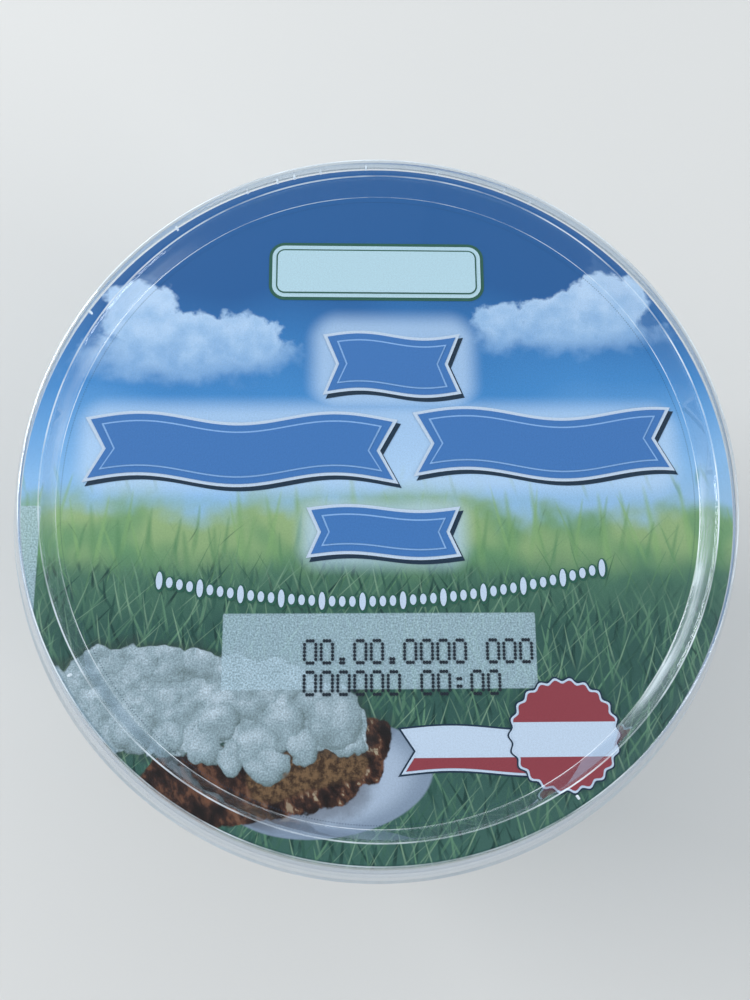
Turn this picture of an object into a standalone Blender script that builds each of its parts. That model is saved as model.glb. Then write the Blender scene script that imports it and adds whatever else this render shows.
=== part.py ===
"""A shut round tub of fresh cheese: a filled cup, its printed peel-off seal and a clear press-on lid.

Units are metres and +Z is up. The tub stands on the plane z = 0 with its axis on the Z axis.
"""

from math import atan2, cos, pi, sin, tan

import bmesh
import bpy
from mathutils import Vector

MM = 0.001
SEGMENTS = 72
ARC_STEPS = 2
GAP = 0.3 * MM

# The cup, filled to its flat rim
CUP_HEIGHT = 50.0 * MM
RIM_RADIUS = 47.1 * MM
RIM_THICKNESS = 1.0 * MM
NECK_RADIUS = 43.9 * MM
NECK_DROP = 8.0 * MM
STEP_WIDTH = 1.3 * MM
STEP_HEIGHT = 1.1 * MM
BASE_RADIUS = 36.2 * MM
FOOT_WIDTH = 2.6 * MM
FOOT_HEIGHT = 0.8 * MM
FOOT_FILLET = 0.2 * MM
HEEL_FILLET = 1.2 * MM
STEP_FILLET = 0.6 * MM
NECK_FILLET = 0.4 * MM
NECK_SPREAD = 0.2 * MM
RIM_FILLET = 0.3 * MM

# The peel-off seal on the rim
SEAL_RADIUS = 47.0 * MM
SEAL_THICKNESS = 0.15 * MM

# The lid: a sunk panel, a raised ring round it and a skirt that snaps under the rim
LID_WALL = 0.4 * MM
PANEL_RADIUS = 42.25 * MM
RING_INNER_RADIUS = 42.65 * MM
RING_OUTER_RADIUS = 45.6 * MM
RING_INNER_RISE = 4.3 * MM
RING_OUTER_RISE = 3.95 * MM
SHOULDER_RADIUS = 48.0 * MM
SHOULDER_DROP = 1.15 * MM
SKIRT_DROP = 2.0 * MM
SNAP_RADIUS = 47.55 * MM
SNAP_DROP = 3.1 * MM
LIP_RADIUS = 49.65 * MM
LIP_DROP = 5.15 * MM
PANEL_FILLET = 0.35 * MM
RING_FILLET = 0.7 * MM
SHOULDER_FILLET = 0.9 * MM
SKIRT_FILLET = 0.5 * MM
SNAP_FILLET = 0.4 * MM

# Where the seal and the lid lie over the rim
SEAL_BOTTOM = CUP_HEIGHT + GAP
SEAL_TOP = SEAL_BOTTOM + SEAL_THICKNESS
PANEL_TOP = SEAL_TOP + GAP + LID_WALL

# Plain colours and roughnesses, by material
FINISHES = {
    "white_cup": ((0.86, 0.87, 0.86), 0.35, 1.0),
    "printed_seal": ((0.20, 0.38, 0.52), 0.4, 1.0),
    "clear_plastic": ((0.92, 0.95, 0.96), 0.08, 0.3),
}


def clear_scene():
    for thing in list(bpy.context.scene.objects):
        bpy.data.objects.remove(thing, do_unlink=True)


def make_material(name):
    colour, roughness, alpha = FINISHES[name]
    material = bpy.data.materials.new(name)
    material.use_nodes = True
    shader = material.node_tree.nodes["Principled BSDF"]
    shader.inputs["Base Color"].default_value = (*colour, 1.0)
    shader.inputs["Roughness"].default_value = roughness
    shader.inputs["Metallic"].default_value = 0.0
    shader.inputs["Alpha"].default_value = alpha
    return material


def rounded(corners):
    """Points with their left-hand normals along (radius, height, fillet) corners, each fillet an arc."""
    spots = [Vector((r, z)) for r, z, _ in corners]
    first_way = (spots[1] - spots[0]).normalized()
    last_way = (spots[-1] - spots[-2]).normalized()
    path = [(spots[0], Vector((-first_way.y, first_way.x)))]
    for before, spot, after, (_, _, fillet) in zip(spots, spots[1:], spots[2:], corners[1:-1]):
        way_in = (spot - before).normalized()
        way_out = (after - spot).normalized()
        turn = atan2(way_in.x * way_out.y - way_in.y * way_out.x, way_in.dot(way_out))
        side = 1.0 if turn > 0 else -1.0
        start = spot - way_in * fillet * tan(abs(turn) / 2)
        normal = Vector((-way_in.y, way_in.x))
        centre = start + normal * side * fillet
        for step in range(ARC_STEPS + 1):
            angle = turn * step / ARC_STEPS
            turned_normal = Vector(
                (normal.x * cos(angle) - normal.y * sin(angle), normal.x * sin(angle) + normal.y * cos(angle))
            )
            path.append((centre - turned_normal * side * fillet, turned_normal))
    path.append((spots[-1], Vector((-last_way.y, last_way.x))))
    return path


def turned(name, outline, material):
    """A closed body from an outline of (radius, height) points that starts and ends on the axis."""
    mesh = bmesh.new()
    verts = [mesh.verts.new((r, 0.0, z)) for r, z in outline]
    edges = [mesh.edges.new(pair) for pair in zip(verts, verts[1:])]
    bmesh.ops.spin(
        mesh, geom=verts + edges, cent=(0, 0, 0), axis=(0, 0, 1), angle=2 * pi, steps=SEGMENTS, use_merge=True
    )
    bmesh.ops.remove_doubles(mesh, verts=mesh.verts, dist=0.001 * MM)
    bmesh.ops.recalc_face_normals(mesh, faces=mesh.faces)
    data = bpy.data.meshes.new(name)
    mesh.to_mesh(data)
    mesh.free()
    data.shade_smooth()
    data.set_sharp_from_angle(angle=pi / 5)
    data.materials.append(material)
    body = bpy.data.objects.new(name, data)
    bpy.context.collection.objects.link(body)
    return body


def make_tub():
    """The cup and what fills it as one body: foot ring, tapered wall, stacking step, neck and flat rim."""
    rim_bottom = CUP_HEIGHT - RIM_THICKNESS
    step_top = CUP_HEIGHT - NECK_DROP
    corners = [
        (0.0, FOOT_HEIGHT, 0.0),
        (BASE_RADIUS - FOOT_WIDTH - FOOT_HEIGHT, FOOT_HEIGHT, FOOT_FILLET),
        (BASE_RADIUS - FOOT_WIDTH, 0.0, FOOT_FILLET),
        (BASE_RADIUS, 0.0, HEEL_FILLET),
        (NECK_RADIUS - STEP_WIDTH, step_top - STEP_HEIGHT, STEP_FILLET),
        (NECK_RADIUS, step_top, STEP_FILLET),
        (NECK_RADIUS + NECK_SPREAD, rim_bottom, NECK_FILLET),
        (RIM_RADIUS, rim_bottom, RIM_FILLET),
        (RIM_RADIUS, CUP_HEIGHT, RIM_FILLET),
        (0.0, CUP_HEIGHT, 0.0),
    ]
    outline = [spot for spot, _ in rounded(corners)]
    return turned("tub", outline, make_material("white_cup"))


def make_seal():
    outline = [
        (0.0, SEAL_BOTTOM),
        (SEAL_RADIUS, SEAL_BOTTOM),
        (SEAL_RADIUS, SEAL_TOP),
        (0.0, SEAL_TOP),
    ]
    return turned("film", outline, make_material("printed_seal"))


def make_lid():
    """One thin wall: its upper face follows the corners and its under face lies a wall thickness below."""
    corners = [
        (0.0, PANEL_TOP, 0.0),
        (PANEL_RADIUS, PANEL_TOP, PANEL_FILLET),
        (RING_INNER_RADIUS, PANEL_TOP + RING_INNER_RISE, RING_FILLET),
        (RING_OUTER_RADIUS, PANEL_TOP + RING_OUTER_RISE, RING_FILLET),
        (SHOULDER_RADIUS, PANEL_TOP - SHOULDER_DROP, SHOULDER_FILLET),
        (SHOULDER_RADIUS, PANEL_TOP - SKIRT_DROP, SKIRT_FILLET),
        (SNAP_RADIUS, PANEL_TOP - SNAP_DROP, SNAP_FILLET),
        (LIP_RADIUS, PANEL_TOP - LIP_DROP, 0.0),
    ]
    skin = rounded(corners)
    upper = [spot for spot, _ in skin]
    under = [spot - normal * LID_WALL for spot, normal in skin]
    outline = upper + under[::-1]
    return turned("lid", outline, make_material("clear_plastic"))


clear_scene()
make_tub()
make_seal()
make_lid()
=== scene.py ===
from math import atan2, cos, pi, radians, sin, tan

import bmesh
import bpy
from mathutils import Matrix, Vector


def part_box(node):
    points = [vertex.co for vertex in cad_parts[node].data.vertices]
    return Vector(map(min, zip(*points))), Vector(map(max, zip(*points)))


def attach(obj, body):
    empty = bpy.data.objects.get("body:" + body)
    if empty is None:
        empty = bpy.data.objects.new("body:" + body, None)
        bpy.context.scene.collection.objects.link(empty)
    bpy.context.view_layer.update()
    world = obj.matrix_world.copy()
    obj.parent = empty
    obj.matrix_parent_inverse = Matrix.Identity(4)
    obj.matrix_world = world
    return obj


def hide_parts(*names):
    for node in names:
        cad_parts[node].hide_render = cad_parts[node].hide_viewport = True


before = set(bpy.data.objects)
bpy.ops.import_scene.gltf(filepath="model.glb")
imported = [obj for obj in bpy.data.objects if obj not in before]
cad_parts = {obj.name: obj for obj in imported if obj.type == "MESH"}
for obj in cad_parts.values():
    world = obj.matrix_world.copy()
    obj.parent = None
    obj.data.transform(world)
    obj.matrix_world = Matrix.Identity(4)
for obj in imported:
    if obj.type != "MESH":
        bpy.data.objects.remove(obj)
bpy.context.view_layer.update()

MM = 0.001
CUP_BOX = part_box("tub")
SEAL_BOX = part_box("film")
LID_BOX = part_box("lid")

# Heights read from the frame
CUP_HEIGHT = CUP_BOX[1].z
SEAL_TOP = SEAL_BOX[1].z
SEAL_RADIUS = SEAL_BOX[1].x
RIM_RADIUS = CUP_BOX[1].x
LIP_RADIUS = LID_BOX[1].x

# Turned pieces
ROUND_STEPS = 256
ARC_STEPS = 6

# The cup, the same corners as the solid
RIM_THICKNESS = 1.0 * MM
NECK_RADIUS = 43.9 * MM
NECK_DROP = 8.0 * MM
STEP_WIDTH = 1.3 * MM
STEP_HEIGHT = 1.1 * MM
BASE_RADIUS = 36.2 * MM
FOOT_WIDTH = 2.6 * MM
FOOT_HEIGHT = 0.8 * MM

# The lid, the same corners as the solid
LID_WALL = 0.4 * MM
PANEL_TOP = SEAL_TOP + 0.7 * MM
PANEL_RADIUS = 42.25 * MM
RING_INNER_RADIUS = 42.65 * MM
RING_OUTER_RADIUS = 45.6 * MM
RING_INNER_RISE = 4.3 * MM
RING_OUTER_RISE = 3.95 * MM
SHOULDER_RADIUS = 48.0 * MM
SHOULDER_DROP = 1.15 * MM
SKIRT_DROP = 2.0 * MM
SNAP_RADIUS = 47.55 * MM
SNAP_DROP = 3.1 * MM
LIP_DROP = 5.15 * MM


class Num:
    """A number that varies over a surface, as a chain of Math nodes in one node tree."""

    def __init__(self, tree, source):
        self.tree = tree
        self.source = source

    def math(self, operation, *others, clamp=False):
        node = self.tree.nodes.new("ShaderNodeMath")
        node.operation = operation
        node.use_clamp = clamp
        for socket, value in zip(node.inputs, (self, *others)):
            plug(self.tree, value, socket)
        return Num(self.tree, node.outputs[0])

    def __add__(self, other):
        return self.math("ADD", other)

    def __sub__(self, other):
        return self.math("SUBTRACT", other)

    def __rsub__(self, other):
        return Num(self.tree, other).math("SUBTRACT", self)

    def __mul__(self, other):
        return self.math("MULTIPLY", other)

    def __truediv__(self, other):
        return self.math("DIVIDE", other)

    def __pow__(self, other):
        return self.math("POWER", other)

    __radd__ = __add__
    __rmul__ = __mul__

    def least(self, other):
        return self.math("MINIMUM", other)

    def most(self, other):
        return self.math("MAXIMUM", other)

    def size(self):
        return self.math("ABSOLUTE")

    def clamped(self):
        return self.math("ADD", 0.0, clamp=True)


def plug(tree, value, socket):
    """Sets a socket to a number, a colour or the output of another node."""
    if isinstance(value, Num):
        value = value.source
    if isinstance(value, bpy.types.NodeSocket):
        tree.links.new(value, socket)
    elif isinstance(value, tuple) and len(value) == 3 and socket.type == "RGBA":
        socket.default_value = (*value, 1.0)
    else:
        socket.default_value = value


def rise(value, low, high):
    """0 below low, 1 above high and a smooth rise between; falls where low is over high."""
    tree = value.tree
    node = tree.nodes.new("ShaderNodeMapRange")
    node.interpolation_type = "SMOOTHSTEP"
    ends = (low, high, 0.0, 1.0) if low <= high else (high, low, 1.0, 0.0)
    for socket, number in zip(node.inputs, (value, *ends)):
        plug(tree, number, socket)
    return Num(tree, node.outputs[0])


def blend(tree, share, under, over):
    """The colour over laid on the colour under."""
    node = tree.nodes.new("ShaderNodeMix")
    node.data_type = "RGBA"
    plug(tree, share, node.inputs[0])
    plug(tree, under, node.inputs[6])
    plug(tree, over, node.inputs[7])
    return node.outputs[2]


def shaded(tree, colour, factor):
    """A colour made lighter or darker by a factor."""
    node = tree.nodes.new("ShaderNodeVectorMath")
    node.operation = "SCALE"
    plug(tree, colour, node.inputs[0])
    plug(tree, factor, node.inputs["Scale"])
    return node.outputs[0]


def ramp(value, stops):
    """Colours along a number that runs from the first stop's place to the last one's."""
    tree = value.tree
    first = stops[0][0]
    span = stops[-1][0] - first
    node = tree.nodes.new("ShaderNodeValToRGB")
    band = node.color_ramp
    band.interpolation = "EASE" if len(stops) < 3 else "LINEAR"
    while len(band.elements) < len(stops):
        band.elements.new(0.5)
    for element, (place, colour) in zip(band.elements, stops):
        element.position = (place - first) / span
        element.color = (*colour, 1.0)
    plug(tree, (value - first) / span, node.inputs[0])
    return node.outputs[0]


def flat_point(tree, x, y, z=0.0):
    """A place as one vector."""
    node = tree.nodes.new("ShaderNodeCombineXYZ")
    for socket, value in zip(node.inputs, (x, y, z)):
        plug(tree, value, socket)
    return node.outputs[0]


def noise(tree, point, scale, detail=2.0, roughness=0.5):
    """Flat noise, about 0.5. Scale is in waves per mm."""
    node = tree.nodes.new("ShaderNodeTexNoise")
    node.noise_dimensions = "2D"
    plug(tree, point, node.inputs["Vector"])
    node.inputs["Scale"].default_value = scale
    node.inputs["Detail"].default_value = detail
    node.inputs["Roughness"].default_value = roughness
    return Num(tree, node.outputs[0])


def ellipse(x, y, centre, radii, tilt=0.0):
    """Roughly the distance outside an ellipse, negative within it. tilt is in degrees."""
    c, s = cos(radians(tilt)), sin(radians(tilt))
    dx = x - centre[0]
    dy = y - centre[1]
    along = (dx * c + dy * s) / radii[0]
    across = (dy * c - dx * s) / radii[1]
    return ((along * along + across * across) ** 0.5 - 1.0) * min(radii)


def slab(x, y, centre, half, corner, tilt=0.0):
    """The distance outside a rectangle with round corners, negative within it."""
    c, s = cos(radians(tilt)), sin(radians(tilt))
    dx = x - centre[0]
    dy = y - centre[1]
    along = (dx * c + dy * s).size() - (half[0] - corner)
    across = (dy * c - dx * s).size() - (half[1] - corner)
    outside = (along.most(0.0) ** 2.0 + across.most(0.0) ** 2.0) ** 0.5
    return outside + along.most(across).least(0.0) - corner


def new_group(name, inputs, outputs):
    """A shader node group of named numbers. Returns its tree, its inputs as Nums and its output node."""
    tree = bpy.data.node_groups.new(name, "ShaderNodeTree")
    for socket_name, value in inputs.items():
        socket = tree.interface.new_socket(socket_name, in_out="INPUT", socket_type="NodeSocketFloat")
        socket.default_value = value
    for socket_name in outputs:
        tree.interface.new_socket(socket_name, in_out="OUTPUT", socket_type="NodeSocketFloat")
    entry = tree.nodes.new("NodeGroupInput")
    values = {socket_name: Num(tree, entry.outputs[socket_name]) for socket_name in inputs}
    return tree, values, tree.nodes.new("NodeGroupOutput")


def place_group(tree, group, values):
    """Places a group in a material and sets or links its inputs. Returns the node."""
    node = tree.nodes.new("ShaderNodeGroup")
    node.node_tree = group
    for name, value in values.items():
        plug(tree, value, node.inputs[name])
    return node


# Blades of grass: the shortest as a share of its cell, how far the roots wander, how fast a blade narrows,
# how wide it is at the root, how soon it is at full width, and how much of its tone comes from chance
SHORTEST_BLADE = 0.5
ROOT_WANDER = 0.3
BLADE_TAPER = 0.7
ROOT_WIDTH = 0.55
ROOT_LENGTH = 0.25
CHANCE_TONE = 0.75
# What a layer of grass says about its blades, with plain values. Lengths are in mm, root fade and stagger in
# cell heights.
BLADE_VALUES = {
    "Lean": 0.0,
    "Cell Width": 2.0,
    "Cell Height": 10.0,
    "Blade Width": 0.5,
    "Bend": 0.6,
    "Softness": 0.06,
    "Root Fade": 0.12,
    "Base": 0.0,
    "Stagger": 9.0,
    "Seed": 0.0,
}


def make_blade_group():
    """Grass blades: one curved, tapered blade in each cell of a leaning grid. Lengths are in mm."""
    tree, value, out = new_group("grass_blades", {"Across": 0.0, "Up": 0.0, **BLADE_VALUES}, ("Mask", "Tone"))
    leaning = value["Across"] - value["Up"] * value["Lean"]
    columns = leaning / value["Cell Width"] + value["Seed"]
    column = columns.math("FLOOR")
    aside = columns.math("FRACT")
    stagger = tree.nodes.new("ShaderNodeTexWhiteNoise")
    stagger.noise_dimensions = "1D"
    plug(tree, column + value["Seed"], stagger.inputs["W"])
    rows = (value["Up"] - value["Base"]) / value["Cell Height"]
    rows = rows + Num(tree, stagger.outputs["Value"]) * value["Stagger"]
    row = rows.math("FLOOR")
    level = rows.math("FRACT")
    chance = tree.nodes.new("ShaderNodeTexWhiteNoise")
    chance.noise_dimensions = "3D"
    plug(tree, flat_point(tree, column, row, value["Seed"]), chance.inputs["Vector"])
    parts = tree.nodes.new("ShaderNodeSeparateColor")
    tree.links.new(chance.outputs["Color"], parts.inputs[0])
    height, place, bend = (Num(tree, parts.outputs[i]) for i in range(3))
    along = level / (height * (1.0 - SHORTEST_BLADE) + SHORTEST_BLADE)
    middle = 0.5 + (place - 0.5) * ROOT_WANDER + (bend - 0.5) * along * along * value["Bend"]
    half = value["Blade Width"] / value["Cell Width"] * 0.5
    root = ROOT_WIDTH + (along * (1.0 / ROOT_LENGTH)).least(1.0) * (1.0 - ROOT_WIDTH)
    taper = (1.0 - along).most(0.0) ** BLADE_TAPER * root
    offset = (aside - middle).size()
    soft = value["Softness"] / value["Cell Width"]
    mask = ((half * taper - offset) / soft + 0.5).clamped() * (along / value["Root Fade"]).least(1.0)
    mask = mask * rise(along, 1.0, 0.9)
    plug(tree, mask, out.inputs["Mask"])
    tone = Num(tree, chance.outputs["Value"]) * CHANCE_TONE + along.least(1.0) * (1.0 - CHANCE_TONE)
    plug(tree, tone, out.inputs["Tone"])
    return tree


# Clouds: waves per mm of their billows, and how far the billows push the edge, in mm
BILLOW_SCALE = 0.34
BILLOW_REACH = 4.2
CLOUD_SOLIDITY = 0.94


def make_cloud_group():
    """Billowed clouds, crisp above and soft below. Shape is the distance outside a plain outline, in mm."""
    inputs = {"Across": 0.0, "Up": 0.0, "Shape": 0.0, "Middle": 0.0}
    tree, value, out = new_group("cloud_edge", inputs, ("Mask", "Light"))
    point = flat_point(tree, value["Across"], value["Up"])
    billow = noise(tree, point, BILLOW_SCALE, detail=4.0, roughness=0.52)
    edge = value["Shape"] + (billow - 0.5) * BILLOW_REACH
    height = value["Up"] - value["Middle"]
    softness = 0.45 + rise(height, 1.0, -4.0) * 1.3
    plug(tree, rise(edge / softness, 1.0, -1.0), out.inputs["Mask"])
    plug(tree, (0.50 + height * 0.08 + (billow - 0.5) * 1.3).clamped(), out.inputs["Light"])
    return tree


def make_lump_group():
    """A round lump lit from above, its middle and radius in mm."""
    inputs = {"Across": 0.0, "Up": 0.0, "Middle Across": 0.0, "Middle Up": 0.0, "Radius": 1.0, "Roughness": 0.0}
    tree, value, out = new_group("round_lump", inputs, ("Mask", "Light"))
    aside = (value["Across"] - value["Middle Across"]) / value["Radius"]
    above = (value["Up"] - value["Middle Up"]) / value["Radius"]
    far = (aside * aside + above * above) ** 0.5
    plug(tree, rise(far, 1.05, 0.95), out.inputs["Mask"])
    light = 0.66 + above * 0.17 - aside * 0.07 - far ** 5.0 * 0.22 + value["Roughness"]
    plug(tree, light.clamped(), out.inputs["Light"])
    return tree


GRAIN_SCALE = 4.5


def make_grain_group():
    """The fine speckle of print ink, as a factor about 1, by place in mm."""
    tree, value, out = new_group("ink_grain", {"Across": 0.0, "Up": 0.0, "Strength": 0.1}, ("Factor",))
    fine = noise(tree, flat_point(tree, value["Across"], value["Up"]), GRAIN_SCALE, detail=1.0)
    plug(tree, 1.0 + (fine - 0.5) * value["Strength"], out.inputs["Factor"])
    return tree


BLADES = make_blade_group()
CLOUD_EDGE = make_cloud_group()
ROUND_LUMP = make_lump_group()
INK_GRAIN = make_grain_group()


def new_material(name):
    """A material with an empty Principled shader. Returns the material, its tree and the shader."""
    material = bpy.data.materials.new(name)
    material.use_nodes = True
    tree = material.node_tree
    return material, tree, tree.nodes["Principled BSDF"]


def surface_place(tree):
    """The place on the object in mm, as three Nums."""
    place = tree.nodes.new("ShaderNodeTexCoord")
    split = tree.nodes.new("ShaderNodeSeparateXYZ")
    tree.links.new(place.outputs["Object"], split.inputs[0])
    return [Num(tree, output) * (1.0 / MM) for output in split.outputs]


def grained(tree, colour, x, y, strength):
    """A colour with the ink's speckle."""
    node = place_group(tree, INK_GRAIN, {"Across": x, "Up": y, "Strength": strength})
    return shaded(tree, colour, Num(tree, node.outputs["Factor"]))


def cloud(tree, colour, x, y, puffs):
    """A cloud over the colour so far, from its puffs' middles and radii."""
    shape = None
    for across, up, wide, tall in puffs:
        puff = ellipse(x, y, (across, up), (wide, tall))
        shape = puff if shape is None else shape.least(puff)
    middle = sum(up for _, up, _, _ in puffs) / len(puffs)
    node = place_group(tree, CLOUD_EDGE, {"Across": x, "Up": y, "Shape": shape, "Middle": middle})
    light = ramp(Num(tree, node.outputs["Light"]), CLOUD_COLOURS)
    return blend(tree, Num(tree, node.outputs["Mask"]) * CLOUD_SOLIDITY, colour, light)


def grass_layer(tree, colour, x, y, reach, layer, colours, strength):
    """Blades over the colour so far, where reach is 1."""
    node = place_group(tree, BLADES, {"Across": x, "Up": y, **dict(zip(BLADE_VALUES, layer))})
    tint = ramp(Num(tree, node.outputs["Tone"]), colours)
    return blend(tree, Num(tree, node.outputs["Mask"]) * reach * strength, colour, tint)


# Colours of the print by height on the seal in mm, or from dark to light
SKY_COLOURS = (
    (-3.0, (0.30, 0.51, 0.74)),
    (3.0, (0.25, 0.49, 0.79)),
    (8.0, (0.14, 0.37, 0.70)),
    (14.0, (0.056, 0.250, 0.57)),
    (21.0, (0.034, 0.180, 0.45)),
    (29.0, (0.018, 0.110, 0.315)),
    (47.0, (0.022, 0.112, 0.31)),
)
MEADOW_COLOURS = (
    (-47.0, (0.050, 0.130, 0.105)),
    (-30.0, (0.034, 0.098, 0.082)),
    (-18.0, (0.034, 0.100, 0.080)),
    (-12.0, (0.066, 0.165, 0.110)),
    (-8.0, (0.135, 0.280, 0.145)),
    (-3.5, (0.230, 0.385, 0.190)),
    (2.0, (0.285, 0.470, 0.370)),
)
MEADOW_PATCHES = ((0.36, (0.125, 0.300, 0.130)), (0.62, (0.370, 0.490, 0.215)))
CLOUD_COLOURS = ((0.0, (0.24, 0.43, 0.70)), (0.5, (0.37, 0.56, 0.80)), (1.0, (0.52, 0.69, 0.90)))
FAR_BLADES = ((0.0, (0.085, 0.225, 0.105)), (1.0, (0.25, 0.43, 0.17)))
THIN_BLADES = ((0.0, (0.020, 0.080, 0.050)), (1.0, (0.14, 0.30, 0.14)))
NEAR_BLADES = ((0.0, (0.003, 0.019, 0.022)), (0.5, (0.030, 0.100, 0.073)), (1.0, (0.145, 0.300, 0.180)))
BRIGHT_BLADES = ((0.0, (0.025, 0.100, 0.064)), (1.0, (0.290, 0.450, 0.300)))
GLOW_COLOUR = (0.53, 0.70, 0.90)

# Puffs of the two clouds: middle and radii, in mm
LEFT_CLOUD = ((-32.8, 24.6, 5.2, 4.8), (-26.0, 21.4, 7.0, 4.0), (-18.2, 20.4, 5.8, 4.1), (-27.5, 18.8, 12.0, 3.4))
RIGHT_CLOUD = ((31.8, 26.4, 5.8, 5.2), (25.0, 24.4, 6.6, 3.9), (17.0, 23.4, 3.9, 3.4), (26.0, 22.8, 10.5, 2.8))

# Layers of grass, in the order of BLADE_VALUES
FAR_GRASS = (
    (-0.12, 3.9, 13.5, 1.20, 0.3, 0.50, 0.30, -9.5, 0.25, 1.31),
    (0.18, 3.1, 12.0, 0.80, 0.4, 0.32, 0.30, -9.0, 0.30, 4.77),
    (-0.30, 4.3, 11.0, 0.60, 0.5, 0.25, 0.30, -9.5, 0.30, 7.23),
)
THIN_GRASS = (
    (0.30, 2.7, 10.5, 0.28, 1.3, 0.12, 0.4, -13.5, 0.4, 5.2),
    (-0.55, 3.3, 9.5, 0.26, 1.5, 0.12, 0.4, -13.0, 0.4, 8.6),
    (0.85, 3.9, 8.5, 0.24, 1.2, 0.12, 0.4, -13.0, 0.4, 2.3),
)
DEEP_GRASS = (
    (0.15, 1.3, 8.0, 0.60, 0.6, 0.12, 0.35, 0.0, 9.0, 1.2),
    (-0.55, 1.7, 9.5, 0.55, 0.8, 0.12, 0.35, 0.0, 9.0, 2.6),
    (0.75, 1.9, 8.5, 0.50, 0.8, 0.12, 0.35, 0.0, 9.0, 4.9),
    (-0.15, 1.5, 6.5, 0.45, 0.7, 0.12, 0.35, 0.0, 9.0, 6.4),
)
LIT_GRASS = (
    (1.1, 2.3, 6.0, 0.26, 0.9, 0.10, 0.4, 0.0, 9.0, 8.3),
    (-0.3, 1.7, 7.0, 0.30, 1.0, 0.12, 0.4, 0.0, 9.0, 11.1),
    (0.45, 2.4, 8.0, 0.28, 1.1, 0.12, 0.4, 0.0, 9.0, 12.7),
)
# How solid the blades of each are
FAR_STRENGTH = 0.62
THIN_STRENGTH = 0.8
DEEP_STRENGTH = 0.9
LIT_STRENGTH = 0.62


def drift_and_ruffle(tree, x, y):
    """A slow and a quick wander, about 0, that bend the heights of sky and meadow."""
    point = flat_point(tree, x, y)
    return noise(tree, point, 0.06, 1.0) - 0.5, noise(tree, point, 0.22, 2.0) - 0.5


def paint_sky(tree, _, x, y):
    drift, _ = drift_and_ruffle(tree, x, y)
    slope = rise(x, 10.0, 40.0) * 1.8 - rise(x, -10.0, -35.0) * 1.0
    return ramp(y + drift * 8.0 - slope, SKY_COLOURS)


def paint_clouds(tree, colour, x, y):
    colour = cloud(tree, colour, x, y, LEFT_CLOUD)
    return cloud(tree, colour, x, y, RIGHT_CLOUD)


def paint_meadow(tree, _, x, y):
    """The meadow's colours by height, without its blades."""
    ruffle = drift_and_ruffle(tree, x, y)[1]
    return ramp(y + ruffle * 5.0, MEADOW_COLOURS)


def paint_meadow_edge(tree, colour, x, y):
    """The blurred far edge of the meadow over the sky, with soft tall blades and thin curved ones."""
    drift, ruffle = drift_and_ruffle(tree, x, y)
    edge = y + drift * 9.0 + ruffle * 5.0 + rise(x, 5.0, 30.0) * 3.0
    patches = ramp(noise(tree, flat_point(tree, x, y), 0.11, 1.0), MEADOW_PATCHES)
    hazy = rise(y, -12.0, -7.0) * rise(y, 1.0, -4.0) * 0.5
    meadow = blend(tree, hazy, paint_meadow(tree, None, x, y), patches)
    colour = blend(tree, rise(edge, 1.8, -3.0), colour, meadow)
    far = rise(y, 4.0, 1.5) * rise(y, -13.0, -7.0)
    for layer in FAR_GRASS:
        colour = grass_layer(tree, colour, x, y, far, layer, FAR_BLADES, FAR_STRENGTH)
    thin = rise(y + ruffle * 6.0, -3.0, -7.0) * rise(y, -15.5, -11.0)
    for layer in THIN_GRASS:
        colour = grass_layer(tree, colour, x, y, thin, layer, THIN_BLADES, THIN_STRENGTH)
    return colour


def near_grass(tree, colour, x, y, reach, lit_layers):
    """Dark blades with lit ones over them, where reach is 1."""
    for layer in DEEP_GRASS:
        colour = grass_layer(tree, colour, x, y, reach, layer, NEAR_BLADES, DEEP_STRENGTH)
    for layer in lit_layers:
        colour = grass_layer(tree, colour, x, y, reach, layer, BRIGHT_BLADES, LIT_STRENGTH)
    return colour


def paint_near_grass(tree, colour, x, y):
    ruffle = drift_and_ruffle(tree, x, y)[1]
    near = rise(y + ruffle * 6.0 + rise(x, 0.0, 30.0) * 3.6, -8.0, -13.0)
    return near_grass(tree, colour, x, y, near, LIT_GRASS)


def paint_lumps(tree, x, y, scale, seed):
    """Round lumps lit from the upper left. Returns their light and how near each point is to a lump's middle."""
    node = tree.nodes.new("ShaderNodeTexVoronoi")
    node.voronoi_dimensions = "2D"
    node.feature = "F1"
    node.inputs["Scale"].default_value = scale
    node.inputs["Randomness"].default_value = 0.85
    point = flat_point(tree, x + seed, y)
    tree.links.new(point, node.inputs["Vector"])
    place = tree.nodes.new("ShaderNodeSeparateXYZ")
    tree.links.new(node.outputs["Position"], place.inputs[0])
    aside = x + seed - Num(tree, place.outputs[0])
    above = y - Num(tree, place.outputs[1])
    light = (above * 0.8 - aside * 0.45) * scale
    near = 1.0 - Num(tree, node.outputs["Distance"])
    return light, near


CURD_COLOURS = (
    (0.0, (0.045, 0.065, 0.062)),
    (0.30, (0.14, 0.20, 0.21)),
    (0.62, (0.29, 0.385, 0.43)),
    (1.0, (0.60, 0.70, 0.78)),
)
CRUST_COLOURS = ((0.0, (0.012, 0.008, 0.007)), (0.5, (0.040, 0.020, 0.015)), (1.0, (0.16, 0.070, 0.040)))
CRUMB_COLOURS = ((0.0, (0.050, 0.028, 0.016)), (1.0, (0.190, 0.112, 0.056)))
SEED_COLOUR = (0.42, 0.36, 0.25)
PLATE_COLOURS = ((0.0, (0.23, 0.30, 0.40)), (1.0, (0.41, 0.50, 0.63)))
FIELD_COLOUR = (0.40, 0.54, 0.62)

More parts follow.
